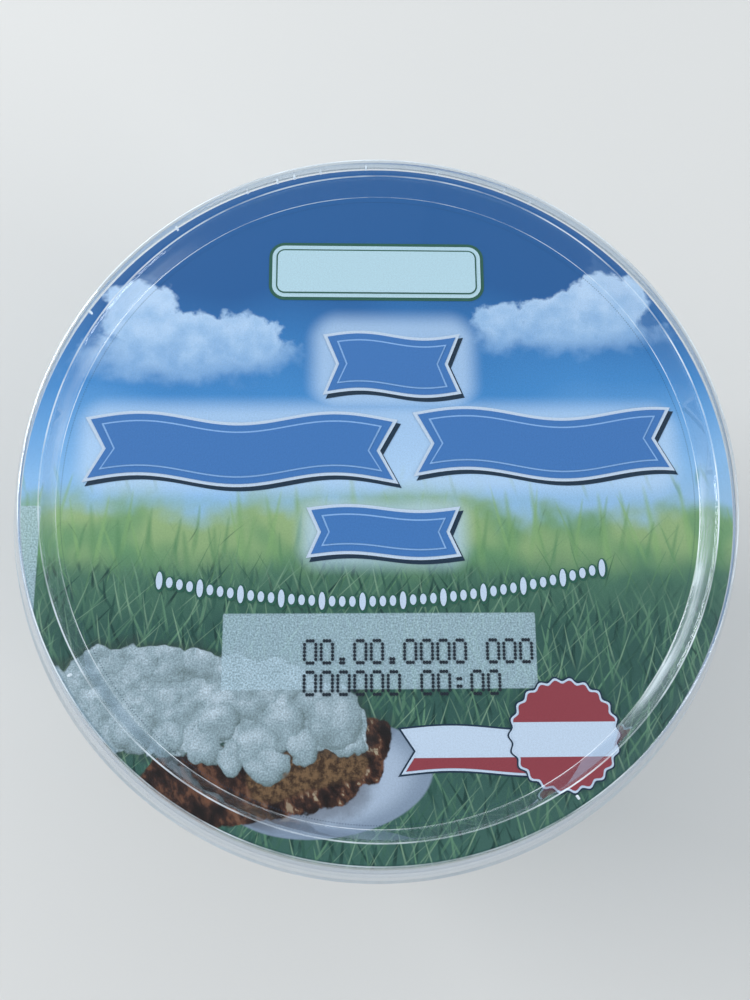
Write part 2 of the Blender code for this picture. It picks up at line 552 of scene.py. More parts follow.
# The plate, as an ellipse, and the loaf, its heel and its cut side, as slabs: middle, half sizes, corner and tilt
PLATE = ((-7.0, -36.4), (13.2, 6.9), 6.0)
LOAF = ((-16.4, -36.6), (13.6, 4.7), 3.0, 9.0)
HEEL = ((-1.9, -33.0), (2.4, 4.0), 1.4, -14.0)
CUT_SIDE = ((-9.4, -35.3), (7.4, 2.5), 1.6, 14.0)
PLATE_SHADE_COLOUR = (0.07, 0.07, 0.08)

# The heap of curds, as two ellipses, and the shade round it
HEAP_BACK = ((-28.0, -26.6), (14.6, 6.2), -4.0)
HEAP_RIGHT = ((-13.6, -27.4), (11.8, 4.8), -15.0)
HEAP_SHADE_COLOUR = (0.03, 0.03, 0.03)

# The curds in front: middle and radius, the farthest first, in mm
FRONT_CURDS = (
    (-31.2, -30.6, 2.6),
    (-26.6, -31.6, 2.2),
    (-20.4, -29.6, 2.4),
    (-22.2, -32.8, 2.1),
    (-4.4, -32.0, 2.1),
    (-6.0, -29.4, 3.5),
    (-12.8, -30.0, 2.9),
    (-9.9, -32.6, 2.0),
    (-18.6, -33.9, 2.0),
    (-15.5, -32.5, 2.6),
    (-14.2, -34.9, 2.6),
)


def paint_bread(tree, colour, x, y):
    """A plate and a thick slice of dark bread with seeds in its crust."""
    point = flat_point(tree, x, y)
    wobble = (noise(tree, point, 0.5, 3.0) - 0.5) * 1.8
    plate = ellipse(x, y, *PLATE)
    shade = rise(plate, 0.3, -3.2)
    colour = blend(tree, rise(plate, 0.12, -0.12), colour, ramp(shade, PLATE_COLOURS))
    loaf = slab(x, y, *LOAF) + wobble
    cast = rise(loaf, 2.6, 0.0) * rise(plate, 0.0, -0.4)
    colour = blend(tree, cast * 0.6, colour, PLATE_SHADE_COLOUR)
    loaf = loaf.least(slab(x, y, *HEEL) + wobble * 0.6)
    rough = noise(tree, flat_point(tree, x + y * 0.3, y * 0.7), 0.62, 4.0, 0.6)
    colour = blend(tree, rise(loaf, 0.15, -0.15), colour, ramp(rise(rough, 0.30, 0.70), CRUST_COLOURS))
    crumb = slab(x, y, *CUT_SIDE) + wobble * 0.6
    crumb_colour = ramp(rise(noise(tree, point, 1.1, 4.0, 0.7), 0.3, 0.7), CRUMB_COLOURS)
    colour = blend(tree, rise(crumb, 0.35, -0.35), colour, crumb_colour)
    flakes = rise(rough, 0.60, 0.66) * rise(loaf, -0.2, -0.5) * rise(crumb, -0.1, 0.5) * rise(x, -20.0, -6.0)
    return blend(tree, flakes * 0.85, colour, SEED_COLOUR)


def paint_curds(tree, colour, x, y):
    """A heap of curds over the bread: a lumpy mass with rounder curds in front."""
    warp = noise(tree, flat_point(tree, x, y), 0.36, 2.0) - 0.5
    other = noise(tree, flat_point(tree, x + 31.0, y), 0.36, 2.0) - 0.5
    bent_x, bent_y = x + warp * 2.4, y + other * 2.4
    big_light, big_near = paint_lumps(tree, bent_x, bent_y, 0.25, 0.0)
    small_light, small_near = paint_lumps(tree, bent_x, bent_y, 0.55, 5.0)
    heap = ellipse(x, y, *HEAP_BACK).least(ellipse(x, y, *HEAP_RIGHT))
    edge = heap - big_near * 1.8 - small_near * 0.5 + 1.1
    light = 0.635 + big_light * 0.10 + small_light * 0.09 + (warp + other) * 0.46
    light = light - rise(big_near, 0.42, 0.10) * 0.10 - rise(small_near, 0.40, 0.12) * 0.08
    colour = blend(tree, rise(edge, 1.3, 0.0) * 0.45, colour, HEAP_SHADE_COLOUR)
    colour = blend(tree, rise(edge, 0.12, -0.12), colour, ramp(light.clamped(), CURD_COLOURS))
    curds = rise(edge, 0.2, -0.2)
    for across, up, radius in FRONT_CURDS:
        places = {
            "Across": bent_x,
            "Up": bent_y,
            "Middle Across": across,
            "Middle Up": up,
            "Radius": radius,
            "Roughness": (warp + other) * 0.3 + small_light * 0.03,
        }
        node = place_group(tree, ROUND_LUMP, places)
        shade = ramp(Num(tree, node.outputs["Light"]), CURD_COLOURS)
        lump = Num(tree, node.outputs["Mask"])
        colour = blend(tree, lump, colour, shade)
        curds = curds.most(lump)
    return grained(tree, colour, x, y, curds * 0.8)


# The glow round the name plates, as slabs: middle, half sizes and corner, in mm
GLOW_SLABS = (((0.0, 5.8), (39.4, 5.4), 3.0), ((1.8, 17.8), (10.4, 6.0), 3.0), ((0.3, -5.8), (10.2, 3.6), 2.0))
GLOW_STRENGTH = 0.66


def paint_glow(tree, colour, x, y):
    """The pale glow round the name plates."""
    wide, upper, lower = (slab(x, y, *place) for place in GLOW_SLABS)
    glow = wide.least(upper).least(lower)
    return blend(tree, rise(glow, 2.2, -1.2) * GLOW_STRENGTH, colour, GLOW_COLOUR)


# The ring of fine dots just inside the panel's edge, in mm
DOT_RING_RADIUS = 41.9
DOT_RING_COUNT = 760
RING_DOT_RADIUS = 0.10
RING_DOT_COLOUR = (0.02, 0.05, 0.09)
RING_DOT_STRENGTH = 0.6


def paint_dot_ring(tree, colour, x, y):
    turn = (y.math("ARCTAN2", x) * (DOT_RING_COUNT / (2 * pi))).math("FRACT") - 0.5
    along = turn * (2 * pi * DOT_RING_RADIUS / DOT_RING_COUNT)
    across = (x * x + y * y) ** 0.5 - DOT_RING_RADIUS
    far = (along * along + across * across) ** 0.5
    dots = rise(far, RING_DOT_RADIUS, RING_DOT_RADIUS * 0.6)
    return blend(tree, dots * RING_DOT_STRENGTH, colour, RING_DOT_COLOUR)


# The pale fields, as slabs: middle, half sizes and corner, in mm
CODE_FIELD = ((-0.3, -20.9), (20.0, 4.75), 0.2)
SIDE_FIELD = ((-47.0, -9.5), (2.7, 7.4), 0.3)
FIELD_GRAIN = 1.1
FIELD_STRENGTH = 0.72
INK_EDGE = 0.1


def paint_fields(tree, colour, x, y):
    """The pale speckled field for the code and one at the left edge."""
    code_field = rise(slab(x, y, *CODE_FIELD), INK_EDGE, -INK_EDGE)
    side_field = rise(slab(x, y, *SIDE_FIELD), INK_EDGE, -INK_EDGE)
    ink = grained(tree, FIELD_COLOUR, x, y, FIELD_GRAIN)
    return blend(tree, code_field.most(side_field) * FIELD_STRENGTH, colour, ink)


# Zones of the seal's print and what is painted in each
ZONE_PAINT = {
    "sky_print": (paint_sky, paint_clouds, paint_glow),
    "meadow_edge_print": (paint_sky, paint_meadow_edge, paint_near_grass, paint_glow, paint_fields),
    "grass_print": (paint_meadow, paint_near_grass, paint_fields),
    "picture_print": (paint_meadow, paint_near_grass, paint_bread, paint_curds, paint_fields),
}
SKY_ABOVE = 8.2
GRASS_BELOW = -16.2
PICTURE_BELOW = -18.0
PICTURE_RIGHT = 8.0


def zone_at(x, y):
    """The index of the zone at a place in mm."""
    if y > SKY_ABOVE:
        return 0
    if y > GRASS_BELOW:
        return 1
    return 3 if y < PICTURE_BELOW and x < PICTURE_RIGHT else 2


PRINT_ROUGHNESS = 0.5
PRINT_SHINE = 0.2
FILM_GRAIN = 0.22
INK_SPECKLE = 0.2


def finish_print(tree, shader, colour, x, y, grain):
    """Gives a shader the colour of print with its speckle and soft sheen."""
    plug(tree, grained(tree, colour, x, y, grain), shader.inputs["Base Color"])
    shader.inputs["Roughness"].default_value = PRINT_ROUGHNESS
    shader.inputs["Specular IOR Level"].default_value = PRINT_SHINE


def make_print_material(name):
    """One zone of the printed film: fields of colour and simple shapes, with a fine speckle and a soft sheen."""
    material, tree, shader = new_material(name)
    x, y, _ = surface_place(tree)
    colour = None
    for paint in (*ZONE_PAINT[name], paint_dot_ring):
        colour = paint(tree, colour, x, y)
    finish_print(tree, shader, colour, x, y, FILM_GRAIN)
    return material


# The cup's print: its lowest and highest edge, and the radius that it is unrolled at, in mm
CUP_BAND = (4.0, 40.0)
CUP_PRINT_RADIUS = 40.0
CUP_WHITE = (0.80, 0.82, 0.82)


def make_cup_material():
    """White plastic with a printed band of sky and meadow round the tapered wall."""
    material, tree, shader = new_material("printed_cup")
    x, y, up = surface_place(tree)
    round_about = x.math("ARCTAN2", y * -1.0) * CUP_PRINT_RADIUS
    point = flat_point(tree, round_about, up)
    height = up * 1.2 - 26.0
    colour = ramp(height, SKY_COLOURS)
    edge = height + (noise(tree, point, 0.16, 2.0) - 0.5) * 6.0
    meadow = ramp(height + (noise(tree, point, 0.35) - 0.5) * 4.0, MEADOW_COLOURS)
    colour = blend(tree, rise(edge, 1.5, -3.5), colour, meadow)
    near = rise(edge, -2.0, -7.0)
    colour = near_grass(tree, colour, round_about, up, near, LIT_GRASS[:2])
    low, high = CUP_BAND
    band = rise(up, low - INK_EDGE, low + INK_EDGE) * rise(up, high + INK_EDGE, high - INK_EDGE)
    colour = blend(tree, band, CUP_WHITE, colour)
    plug(tree, grained(tree, colour, round_about, up, 0.15), shader.inputs["Base Color"])
    shader.inputs["Roughness"].default_value = 0.32
    return material


# How much of the lid's surface mirrors: seen square on, and added where it is seen along the wall
MIRROR_SQUARE_ON = 0.02
MIRROR_ALONG = 0.95
MIRROR_FALL = 2.4
MIRROR_COLOUR = (0.90, 0.95, 1.0, 1.0)
# What the lid lets through, seen square on and along the wall
CLEAR_SQUARE_ON = (0.985, 0.99, 0.995)
CLEAR_ALONG = (0.62, 0.70, 0.78)
# Painted highlight: pale streaks low on the ring's inner wall that stand in for the window light's reflection,
# strongest on one side and fainter across from it.
# Spans are cosines of the turn away from that side, and heights are in mm above the panel.
WALL_HAZE_AND_HIGHLIGHT = 0.38
WALL_HAZE = 0.03
HIGHLIGHT_SIDE = (0.93, -0.37)
NEAR_HIGHLIGHT_SPAN = (0.87, 0.99)
FAR_HIGHLIGHT_SPAN = (-0.80, -1.0)
FAR_HIGHLIGHT = 0.4
HIGHLIGHT_HEIGHTS = (3.0, 0.6)
# Waves per mm of the streaks' lines, round the ring and up the wall, and the share that isn't in lines
HIGHLIGHT_LINE_SCALE = (0.10, 0.9)
HIGHLIGHT_VEIL = 0.12
# The colour of the wall's faint haze and of the painted highlights: the wall's streaks and the lid's folds and
# cut edge
HAZE_AND_HIGHLIGHT_COLOUR = (0.80, 0.89, 0.96, 1.0)


def make_lid_material(name, highlight_streaks):
    """Clear moulded plastic. The last argument is how solid its faint wall haze and painted highlight streaks
    look, 0 for none.
    """
    material, tree, shader = new_material(name)
    shader.inputs["Base Color"].default_value = MIRROR_COLOUR
    shader.inputs["Metallic"].default_value = 1.0
    shader.inputs["Roughness"].default_value = 0.05
    facing = tree.nodes.new("ShaderNodeLayerWeight")
    facing.inputs["Blend"].default_value = 0.5
    slant = Num(tree, facing.outputs["Facing"])
    side = tree.nodes.new("ShaderNodeNewGeometry")
    outside = 1.0 - Num(tree, side.outputs["Backfacing"])
    gloss = (MIRROR_SQUARE_ON + slant ** MIRROR_FALL * MIRROR_ALONG) * outside
    clear = tree.nodes.new("ShaderNodeBsdfTransparent")
    plug(tree, blend(tree, slant * slant, CLEAR_SQUARE_ON, CLEAR_ALONG), clear.inputs[0])
    either = tree.nodes.new("ShaderNodeMixShader")
    plug(tree, gloss, either.inputs[0])
    tree.links.new(clear.outputs[0], either.inputs[1])
    tree.links.new(shader.outputs[0], either.inputs[2])
    surface = either
    if highlight_streaks:
        # Painted highlight: pale streaks on the side that faces the window lamp, over a faint even haze
        x, y, z = surface_place(tree)
        toward = (x * HIGHLIGHT_SIDE[0] + y * HIGHLIGHT_SIDE[1]) / (x * x + y * y) ** 0.5
        lit = rise(toward, *NEAR_HIGHLIGHT_SPAN) + rise(toward, *FAR_HIGHLIGHT_SPAN) * FAR_HIGHLIGHT
        low = rise(z - PANEL_TOP / MM, *HIGHLIGHT_HEIGHTS)
        point = flat_point(tree, y * HIGHLIGHT_LINE_SCALE[0], z * HIGHLIGHT_LINE_SCALE[1])
        lines = rise(noise(tree, point, 1.0, 3.0), 0.42, 0.62)
        solid = WALL_HAZE + lit * (HIGHLIGHT_VEIL + low * (HIGHLIGHT_VEIL + lines * (1.0 - HIGHLIGHT_VEIL)))
        haze_and_highlight = tree.nodes.new("ShaderNodeBsdfPrincipled")
        haze_and_highlight.inputs["Base Color"].default_value = HAZE_AND_HIGHLIGHT_COLOUR
        haze_and_highlight.inputs["Roughness"].default_value = 0.6
        surface = tree.nodes.new("ShaderNodeMixShader")
        plug(tree, solid * highlight_streaks, surface.inputs[0])
        tree.links.new(either.outputs[0], surface.inputs[1])
        tree.links.new(haze_and_highlight.outputs[0], surface.inputs[2])
    tree.links.new(surface.outputs[0], tree.nodes["Material Output"].inputs["Surface"])
    return material


def make_edge_material(name, least, most):
    """The lid's folds and cut edge as pale bands of painted highlight, uneven in strength. Least and most are how
    solid they look.
    """
    material, tree, shader = new_material(name)
    shader.inputs["Base Color"].default_value = HAZE_AND_HIGHLIGHT_COLOUR
    shader.inputs["Roughness"].default_value = 0.35
    x, y, _ = surface_place(tree)
    highlight_streaks = rise(noise(tree, flat_point(tree, x, y), 0.09, 3.0), 0.35, 0.65)
    plug(tree, least + highlight_streaks * (most - least), shader.inputs["Alpha"])
    return material


def rounded(corners):
    """Points with their left-hand normals along (radius, height, fillet) corners, each fillet an arc."""
    spots = [Vector((r, z)) for r, z, _ in corners]
    first_way = (spots[1] - spots[0]).normalized()
    last_way = (spots[-1] - spots[-2]).normalized()
    path = [(spots[0], Vector((-first_way.y, first_way.x)))]
    for before, spot, after, (_, _, fillet) in zip(spots, spots[1:], spots[2:], corners[1:-1]):
        way_in = (spot - before).normalized()
        way_out = (after - spot).normalized()
        turn = atan2(way_in.x * way_out.y - way_in.y * way_out.x, way_in.dot(way_out))
        side = 1.0 if turn > 0 else -1.0
        start = spot - way_in * fillet * tan(abs(turn) / 2)
        normal = Vector((-way_in.y, way_in.x))
        centre = start + normal * side * fillet
        for step in range(ARC_STEPS + 1):
            angle = turn * step / ARC_STEPS
            turned_normal = Matrix.Rotation(angle, 2) @ normal
            path.append((centre - turned_normal * side * fillet, turned_normal))
    path.append((spots[-1], Vector((-last_way.y, last_way.x))))
    return path


def finish_piece(name, mesh, node, materials):
    """Turns a bmesh into a shown piece that rides on the tub's one body."""
    data = bpy.data.meshes.new(name)
    mesh.to_mesh(data)
    mesh.free()
    data.shade_smooth()
    data.set_sharp_from_angle(angle=radians(40.0))
    for material in materials:
        data.materials.append(material)
    piece = bpy.data.objects.new(name, data)
    bpy.context.collection.objects.link(piece)
    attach(piece, "root")
    if node:
        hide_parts(node)
    return piece


def turned_mesh(outline):
    """A closed body from (radius, height) points that start and end on the axis."""
    mesh = bmesh.new()
    verts = [mesh.verts.new((r, 0.0, z)) for r, z in outline]
    edges = [mesh.edges.new(pair) for pair in zip(verts, verts[1:])]
    bmesh.ops.spin(
        mesh, geom=verts + edges, cent=(0, 0, 0), axis=(0, 0, 1), angle=2 * pi, steps=ROUND_STEPS, use_merge=True
    )
    bmesh.ops.remove_doubles(mesh, verts=mesh.verts, dist=0.0005 * MM)
    bmesh.ops.recalc_face_normals(mesh, faces=mesh.faces)
    return mesh


def make_cup():
    rim_bottom = CUP_HEIGHT - RIM_THICKNESS
    step_top = CUP_HEIGHT - NECK_DROP
    corners = [
        (0.0, FOOT_HEIGHT, 0.0),
        (BASE_RADIUS - FOOT_WIDTH - FOOT_HEIGHT, FOOT_HEIGHT, 0.2 * MM),
        (BASE_RADIUS - FOOT_WIDTH, 0.0, 0.2 * MM),
        (BASE_RADIUS, 0.0, 1.2 * MM),
        (NECK_RADIUS - STEP_WIDTH, step_top - STEP_HEIGHT, 0.6 * MM),
        (NECK_RADIUS, step_top, 0.6 * MM),
        (NECK_RADIUS + 0.2 * MM, rim_bottom, 0.4 * MM),
        (RIM_RADIUS, rim_bottom, 0.3 * MM),
        (RIM_RADIUS, CUP_HEIGHT, 0.3 * MM),
        (0.0, CUP_HEIGHT, 0.0),
    ]
    mesh = turned_mesh([spot for spot, _ in rounded(corners)])
    return finish_piece("cup", mesh, "tub", [make_cup_material()])


def make_seal():
    low, high = SEAL_BOX[0].z, SEAL_TOP
    bevel = 0.04 * MM
    corners = [
        (0.0, low, 0.0),
        (SEAL_RADIUS, low, bevel),
        (SEAL_RADIUS, high, bevel),
        (0.0, high, 0.0),
    ]
    mesh = turned_mesh([spot for spot, _ in rounded(corners)])
    cuts = [((0.0, edge, 0.0), (0.0, 1.0, 0.0)) for edge in (SKY_ABOVE, GRASS_BELOW, PICTURE_BELOW)]
    cuts.append(((PICTURE_RIGHT, 0.0, 0.0), (1.0, 0.0, 0.0)))
    for spot, way in cuts:
        geometry = mesh.verts[:] + mesh.edges[:] + mesh.faces[:]
        bmesh.ops.bisect_plane(mesh, geom=geometry, plane_co=Vector(spot) * MM, plane_no=way)
    for face in mesh.faces:
        middle = face.calc_center_median() / MM
        face.material_index = zone_at(middle.x, middle.y)
    return finish_piece("printed_film", mesh, "film", [make_print_material(name) for name in ZONE_PAINT])


# Small moulded marks under the top of the ring: their places round the lid in degrees, and their size
NIB_TURNS = (62.5, 67.5, 79.7, 92.5, 100.6, 105.3, 108.4, 114.0, 128.0, 149.0, 212.0, 301.0)
NIB_RADIUS = 44.5 * MM
NIB_RISE = 3.6 * MM
NIB_SIZE = (0.4 * MM, 0.25 * MM, 0.6 * MM)


def add_nibs(mesh, slot):
    """Small raised marks under the lid's ring."""
    for turn in NIB_TURNS:
        spot = Matrix.Translation((NIB_RADIUS, 0.0, PANEL_TOP + NIB_RISE))
        shape = Matrix.Diagonal((*NIB_SIZE, 1.0))
        place = Matrix.Rotation(radians(turn), 4, "Z") @ spot @ shape
        made = bmesh.ops.create_cube(mesh, size=1.0, matrix=place)
        # The marks take the folds' painted highlight
        for face in {face for vert in made["verts"] for face in vert.link_faces}:
            face.material_index = slot


# The spans of the lid's outline that lie mid-way round its folds, counted from the middle of the panel
FOLD_SPANS = (4, 11, 17, 18, 25)
FOLD_REACH = 0.03 * MM
# A wall is steep where its normal's height is below this
WALL_STEEPNESS = 0.55
LID_SLOTS = {"lip": 1, "fold": 2, "wall": 3}


def make_lid():
    corners = [
        (0.0, PANEL_TOP, 0.0),
        (PANEL_RADIUS, PANEL_TOP, 0.35 * MM),
        (RING_INNER_RADIUS, PANEL_TOP + RING_INNER_RISE, 0.7 * MM),
        (RING_OUTER_RADIUS, PANEL_TOP + RING_OUTER_RISE, 0.7 * MM),
        (SHOULDER_RADIUS, PANEL_TOP - SHOULDER_DROP, 0.9 * MM),
        (SHOULDER_RADIUS, PANEL_TOP - SKIRT_DROP, 0.5 * MM),
        (SNAP_RADIUS, PANEL_TOP - SNAP_DROP, 0.4 * MM),
        (LIP_RADIUS, PANEL_TOP - LIP_DROP, 0.0),
    ]
    skin = rounded(corners)
    upper = [spot for spot, _ in skin]
    under = [spot - normal * LID_WALL for spot, normal in skin]
    mesh = turned_mesh(upper + under[::-1])
    mesh.normal_update()
    cut_edge = (upper[-1].x + under[-1].x) / 2
    folds = [(upper[i] + upper[i + 1]) / 2 for i in FOLD_SPANS]
    for face in mesh.faces:
        middle = face.calc_center_median()
        radius = Vector(middle[:2]).length
        if abs(radius - cut_edge) < LID_WALL * 0.2 and middle.z < LID_BOX[0].z + LID_WALL * 0.6:
            face.material_index = LID_SLOTS["lip"]
        elif any((Vector((radius, middle.z)) - fold).length < FOLD_REACH for fold in folds):
            face.material_index = LID_SLOTS["fold"]
        elif abs(face.normal.z) < WALL_STEEPNESS and radius < RING_INNER_RADIUS + LID_WALL * 2:
            face.material_index = LID_SLOTS["wall"]
    add_nibs(mesh, LID_SLOTS["fold"])
    # The lip, the folds and the nibs get pale painted highlight, and the steep inner wall painted highlight
    # streaks
    materials = [
        make_lid_material("clear_lid", 0.0),
        make_edge_material("lip_painted_highlight", 0.5, 0.85),
        make_edge_material("fold_painted_highlight", 0.22, 0.75),
        make_lid_material("clear_wall_painted_streaks", WALL_HAZE_AND_HIGHLIGHT),
    ]
    lid = finish_piece("clear_lid", mesh, "lid", materials)
    lid.visible_shadow = False
    lid.visible_diffuse = False
    return lid


# Printed shapes on the seal: thin layers of ink, the lowest first, in mm above the seal
INK_THICKNESS = 0.02
INK_STEP = 0.03
INK_BASE = 0.01

INKS = {
    "title_blue": (0.056, 0.185, 0.47),
    "title_line": (0.26, 0.46, 0.78),
    "ink_white": (0.55, 0.66, 0.80),
    "shadow_navy": (0.014, 0.034, 0.062),
    "plaque_cream": (0.48, 0.68, 0.76),
    "leaf_green": (0.030, 0.115, 0.080),
    "band_red": (0.28, 0.050, 0.065),
    "code_black": (0.018, 0.026, 0.036),
}


def make_ink(name):
    """One flat ink with the print's fine speckle and sheen."""
    material, tree, shader = new_material(name)
    x, y, _ = surface_place(tree)
    finish_print(tree, shader, INKS[name], x, y, INK_SPECKLE)
    return material


def make_banded_ink():
    """Bands of red, white and red across the badge."""
    material, tree, shader = new_material("banded_ink")
    x, y, _ = surface_place(tree)
    edge = (BADGE_BAND_HALF + BADGE_BAND_BLUR, BADGE_BAND_HALF - BADGE_BAND_BLUR)
    white = rise((y - BADGE_BAND_MIDDLE).size(), *edge)
    finish_print(tree, shader, blend(tree, white, INKS["band_red"], INKS["ink_white"]), x, y, INK_SPECKLE)
    return material


def add_layer(mesh, outline, level, slot=0):
    """A thin closed layer of ink over a flat outline of (x, y) points in mm."""
    low = SEAL_TOP / MM + INK_BASE + INK_STEP * level
    floor = [mesh.verts.new((x, y, low)) for x, y in outline]
    top = [mesh.verts.new((x, y, low + INK_THICKNESS)) for x, y in outline]
    faces = [mesh.faces.new(top), mesh.faces.new(floor[::-1])]
    for i, (a, b) in enumerate(zip(floor, floor[1:] + floor[:1])):
        j = (i + 1) % len(top)
        faces.append(mesh.faces.new((a, b, top[j], top[i])))
    for face in faces:
        face.material_index = slot
        face.normal_update()
    bmesh.ops.triangulate(mesh, faces=faces[:2])


def shifted(outline, aside, up):
    """An outline moved aside and up."""
    return [(x + aside, y + up) for x, y in outline]


def oval(centre, radii, steps):
    """An ellipse, anticlockwise."""
    turns = (2 * pi * i / steps for i in range(steps))
    return [(centre[0] + radii[0] * cos(t), centre[1] + radii[1] * sin(t)) for t in turns]


def pill(centre, half, corner, steps=8):
    """A rectangle with round corners, anticlockwise."""
    points = []
    for quarter, (sx, sy) in enumerate(((1, 1), (-1, 1), (-1, -1), (1, -1))):
        cx = centre[0] + sx * (half[0] - corner)
        cy = centre[1] + sy * (half[1] - corner)
        for i in range(steps + 1):
            t = (quarter + i / steps) * pi / 2
            points.append((cx + corner * cos(t), cy + corner * sin(t)))
    return points


def ribbon(left, right, middle, half, sway, notch, grow=0.0, steps=40):
    """A waving ribbon with notched ends, anticlockwise. sway is its rise and its waves' length."""
    rise_height, wave = sway
    slant = atan2(half, notch)
    start = left - grow / tan(slant / 2)
    end = right + grow / tan(slant / 2)
    depth = notch - grow / sin(slant)

    def centre(x):
        return middle + rise_height * sin(2 * pi * (x - left) / wave)

    across = [start + (end - start) * i / steps for i in range(steps + 1)]
    under = [(x, centre(x) - half - grow) for x in across]
    over = [(x, centre(x) + half + grow) for x in reversed(across)]
    return under + [(right - depth, centre(right))] + over + [(left + depth, centre(left))]


def scalloped(centre, radius, waves, depth):
    """A disc with a wavy edge."""
    steps = waves * 8
    points = []
    for i in range(steps):
        t = 2 * pi * i / steps
        r = radius + depth * cos(waves * t)
        points.append((centre[0] + r * cos(t), centre[1] + r * sin(t)))
    return points


def finish_ink(name, mesh, inks):
    """Scales layers that were built in mm and makes them a piece."""
    bmesh.ops.scale(mesh, vec=(MM, MM, MM), verts=mesh.verts)
    bmesh.ops.recalc_face_normals(mesh, faces=mesh.faces)
    return finish_piece(name, mesh, None, inks)


# Name plates in the place of the title: left, right, middle, half height, sway, notch, in mm
PLATES = (
    (-7.2, 10.4, 17.6, 3.9, (0.5, 17.6), 1.6),
    (-38.6, 1.6, 5.6, 4.0, (0.8, 26.0), 2.2),
    (5.0, 38.8, 6.4, 4.0, (0.8, 26.0), 2.2),
    (-9.2, 9.8, -5.6, 2.9, (0.4, 19.0), 1.3),
)
PLATE_EDGE = 0.42
PLATE_SHADOW = (0.42, -0.55)
PLATE_LINE = 0.85
HAIRLINE = 0.2


def make_name_plates():
    """Blank ribbons with a pale line inside, a white edge and a dark shadow to the lower right."""
    mesh = bmesh.new()
    for plate in PLATES:
        edge = ribbon(*plate, grow=PLATE_EDGE)
        add_layer(mesh, shifted(edge, *PLATE_SHADOW), 0, 0)
        add_layer(mesh, edge, 1, 1)
        add_layer(mesh, ribbon(*plate), 2, 2)
        add_layer(mesh, ribbon(*plate, grow=-PLATE_LINE), 3, 3)
        add_layer(mesh, ribbon(*plate, grow=-PLATE_LINE - HAIRLINE), 4, 2)
    inks = [make_ink(name) for name in ("shadow_navy", "ink_white", "title_blue", "title_line")]
    return finish_ink("name_plates", mesh, inks)


# A row of beads in the place of the line under the title, in mm
BEAD_ROW_ENDS = (-28.6, 28.8)
BEAD_COUNT = 45
BEAD_ROW_MIDDLE = -14.6
BEAD_ROW_LIFT = 0.0042
BEAD_ROW_TILT = 0.025
BEAD_RADII = (0.42, 0.85)
BEAD_EDGE = 0.26
BEAD_SHADOW = (0.08, -0.1)
BEAD_STEPS = 16
# Every fourth bead is tall and the others are low, as shares of the bead's height
TALL_BEAD = 1.35
LOW_BEAD = 0.8


def make_bead_row():
    """Small white beads on a shallow arc, each with a dark edge."""
    mesh = bmesh.new()
    left, right = BEAD_ROW_ENDS
    for i in range(BEAD_COUNT):
        x = left + (right - left) * i / (BEAD_COUNT - 1)
        y = BEAD_ROW_MIDDLE + BEAD_ROW_LIFT * x * x + BEAD_ROW_TILT * x
        wide, tall = BEAD_RADII[0], BEAD_RADII[1] * (TALL_BEAD if i % 4 == 0 else LOW_BEAD)
        edge = oval((x, y), (wide + BEAD_EDGE, tall + BEAD_EDGE), BEAD_STEPS)
        add_layer(mesh, shifted(edge, *BEAD_SHADOW), i % 2, 0)
        add_layer(mesh, oval((x, y), (wide, tall), BEAD_STEPS), 2, 1)
    return finish_ink("bead_row", mesh, [make_ink("leaf_green"), make_ink("ink_white")])


# A blank plaque near the top, in mm
PLAQUE_MIDDLE = (-0.4, 31.2)
PLAQUE_HALF = (15.0, 4.3)
PLAQUE_CORNER = 2.2
PLAQUE_EDGE = 0.45
PLAQUE_LINE = 1.0


def make_top_plaque():
    """A blank pale plaque with a green edge and a fine line inside."""
    mesh = bmesh.new()
    insets = (0.0, PLAQUE_EDGE, PLAQUE_LINE, PLAQUE_LINE + HAIRLINE)
    for level, inset in enumerate(insets):
        half = (PLAQUE_HALF[0] - inset, PLAQUE_HALF[1] - inset)
        add_layer(mesh, pill(PLAQUE_MIDDLE, half, PLAQUE_CORNER - inset), level, level % 2)
    return finish_ink("top_plaque", mesh, [make_ink("leaf_green"), make_ink("plaque_cream")])


# The banded badge at the lower right: a ribbon behind a round seal, in mm
BADGE_MIDDLE = (22.8, -31.4)
BADGE_RADIUS = 6.5
BADGE_WAVES = 22
BADGE_WAVE_DEPTH = 0.22
BADGE_TAIL = (2.8, 20.0, -33.2, 2.4, (0.35, 22.0), 1.6)
BADGE_BAND_MIDDLE = -31.9
BADGE_BAND_HALF = 2.1
BADGE_BAND_BLUR = 0.03
BADGE_EDGE = 0.30
BADGE_RIM = 0.52


def make_badge():
    """A round scalloped seal on a ribbon, in bands of red and white, with a white edge and a dark rim."""
    mesh = bmesh.new()
    for slot, grow in enumerate((BADGE_RIM, BADGE_EDGE, 0.0)):
        disc = scalloped(BADGE_MIDDLE, BADGE_RADIUS + grow, BADGE_WAVES, BADGE_WAVE_DEPTH)
        add_layer(mesh, ribbon(*BADGE_TAIL, grow=grow), slot, slot)
        add_layer(mesh, disc, 3 + slot, slot)
    return finish_ink("banded_badge", mesh, [make_ink("shadow_navy"), make_ink("ink_white"), make_banded_ink()])


# The dotted code on the pale field: generic zeros on a 5 by 7 grid of dots, in mm
CODE_ROWS = (("00.00.0000 000", -19.6), ("000000 00:00", -23.5))
CODE_LEFT = -9.9
GLYPH_PITCH = 2.12
DOT_ACROSS = 0.36
DOT_DOWN = 0.46
DOT_RADII = (0.21, 0.231)
DOT_STEPS = 8
GLYPH_DOTS = {
    "0": [(c, r) for c in range(5) for r in range(7) if (c in (0, 4)) != (r in (0, 6))],
    ".": [(2, 6), (1, 6), (2, 5), (1, 5)],
    ":": [(2, 2), (2, 4), (1, 2), (1, 4)],
    " ": [],
}


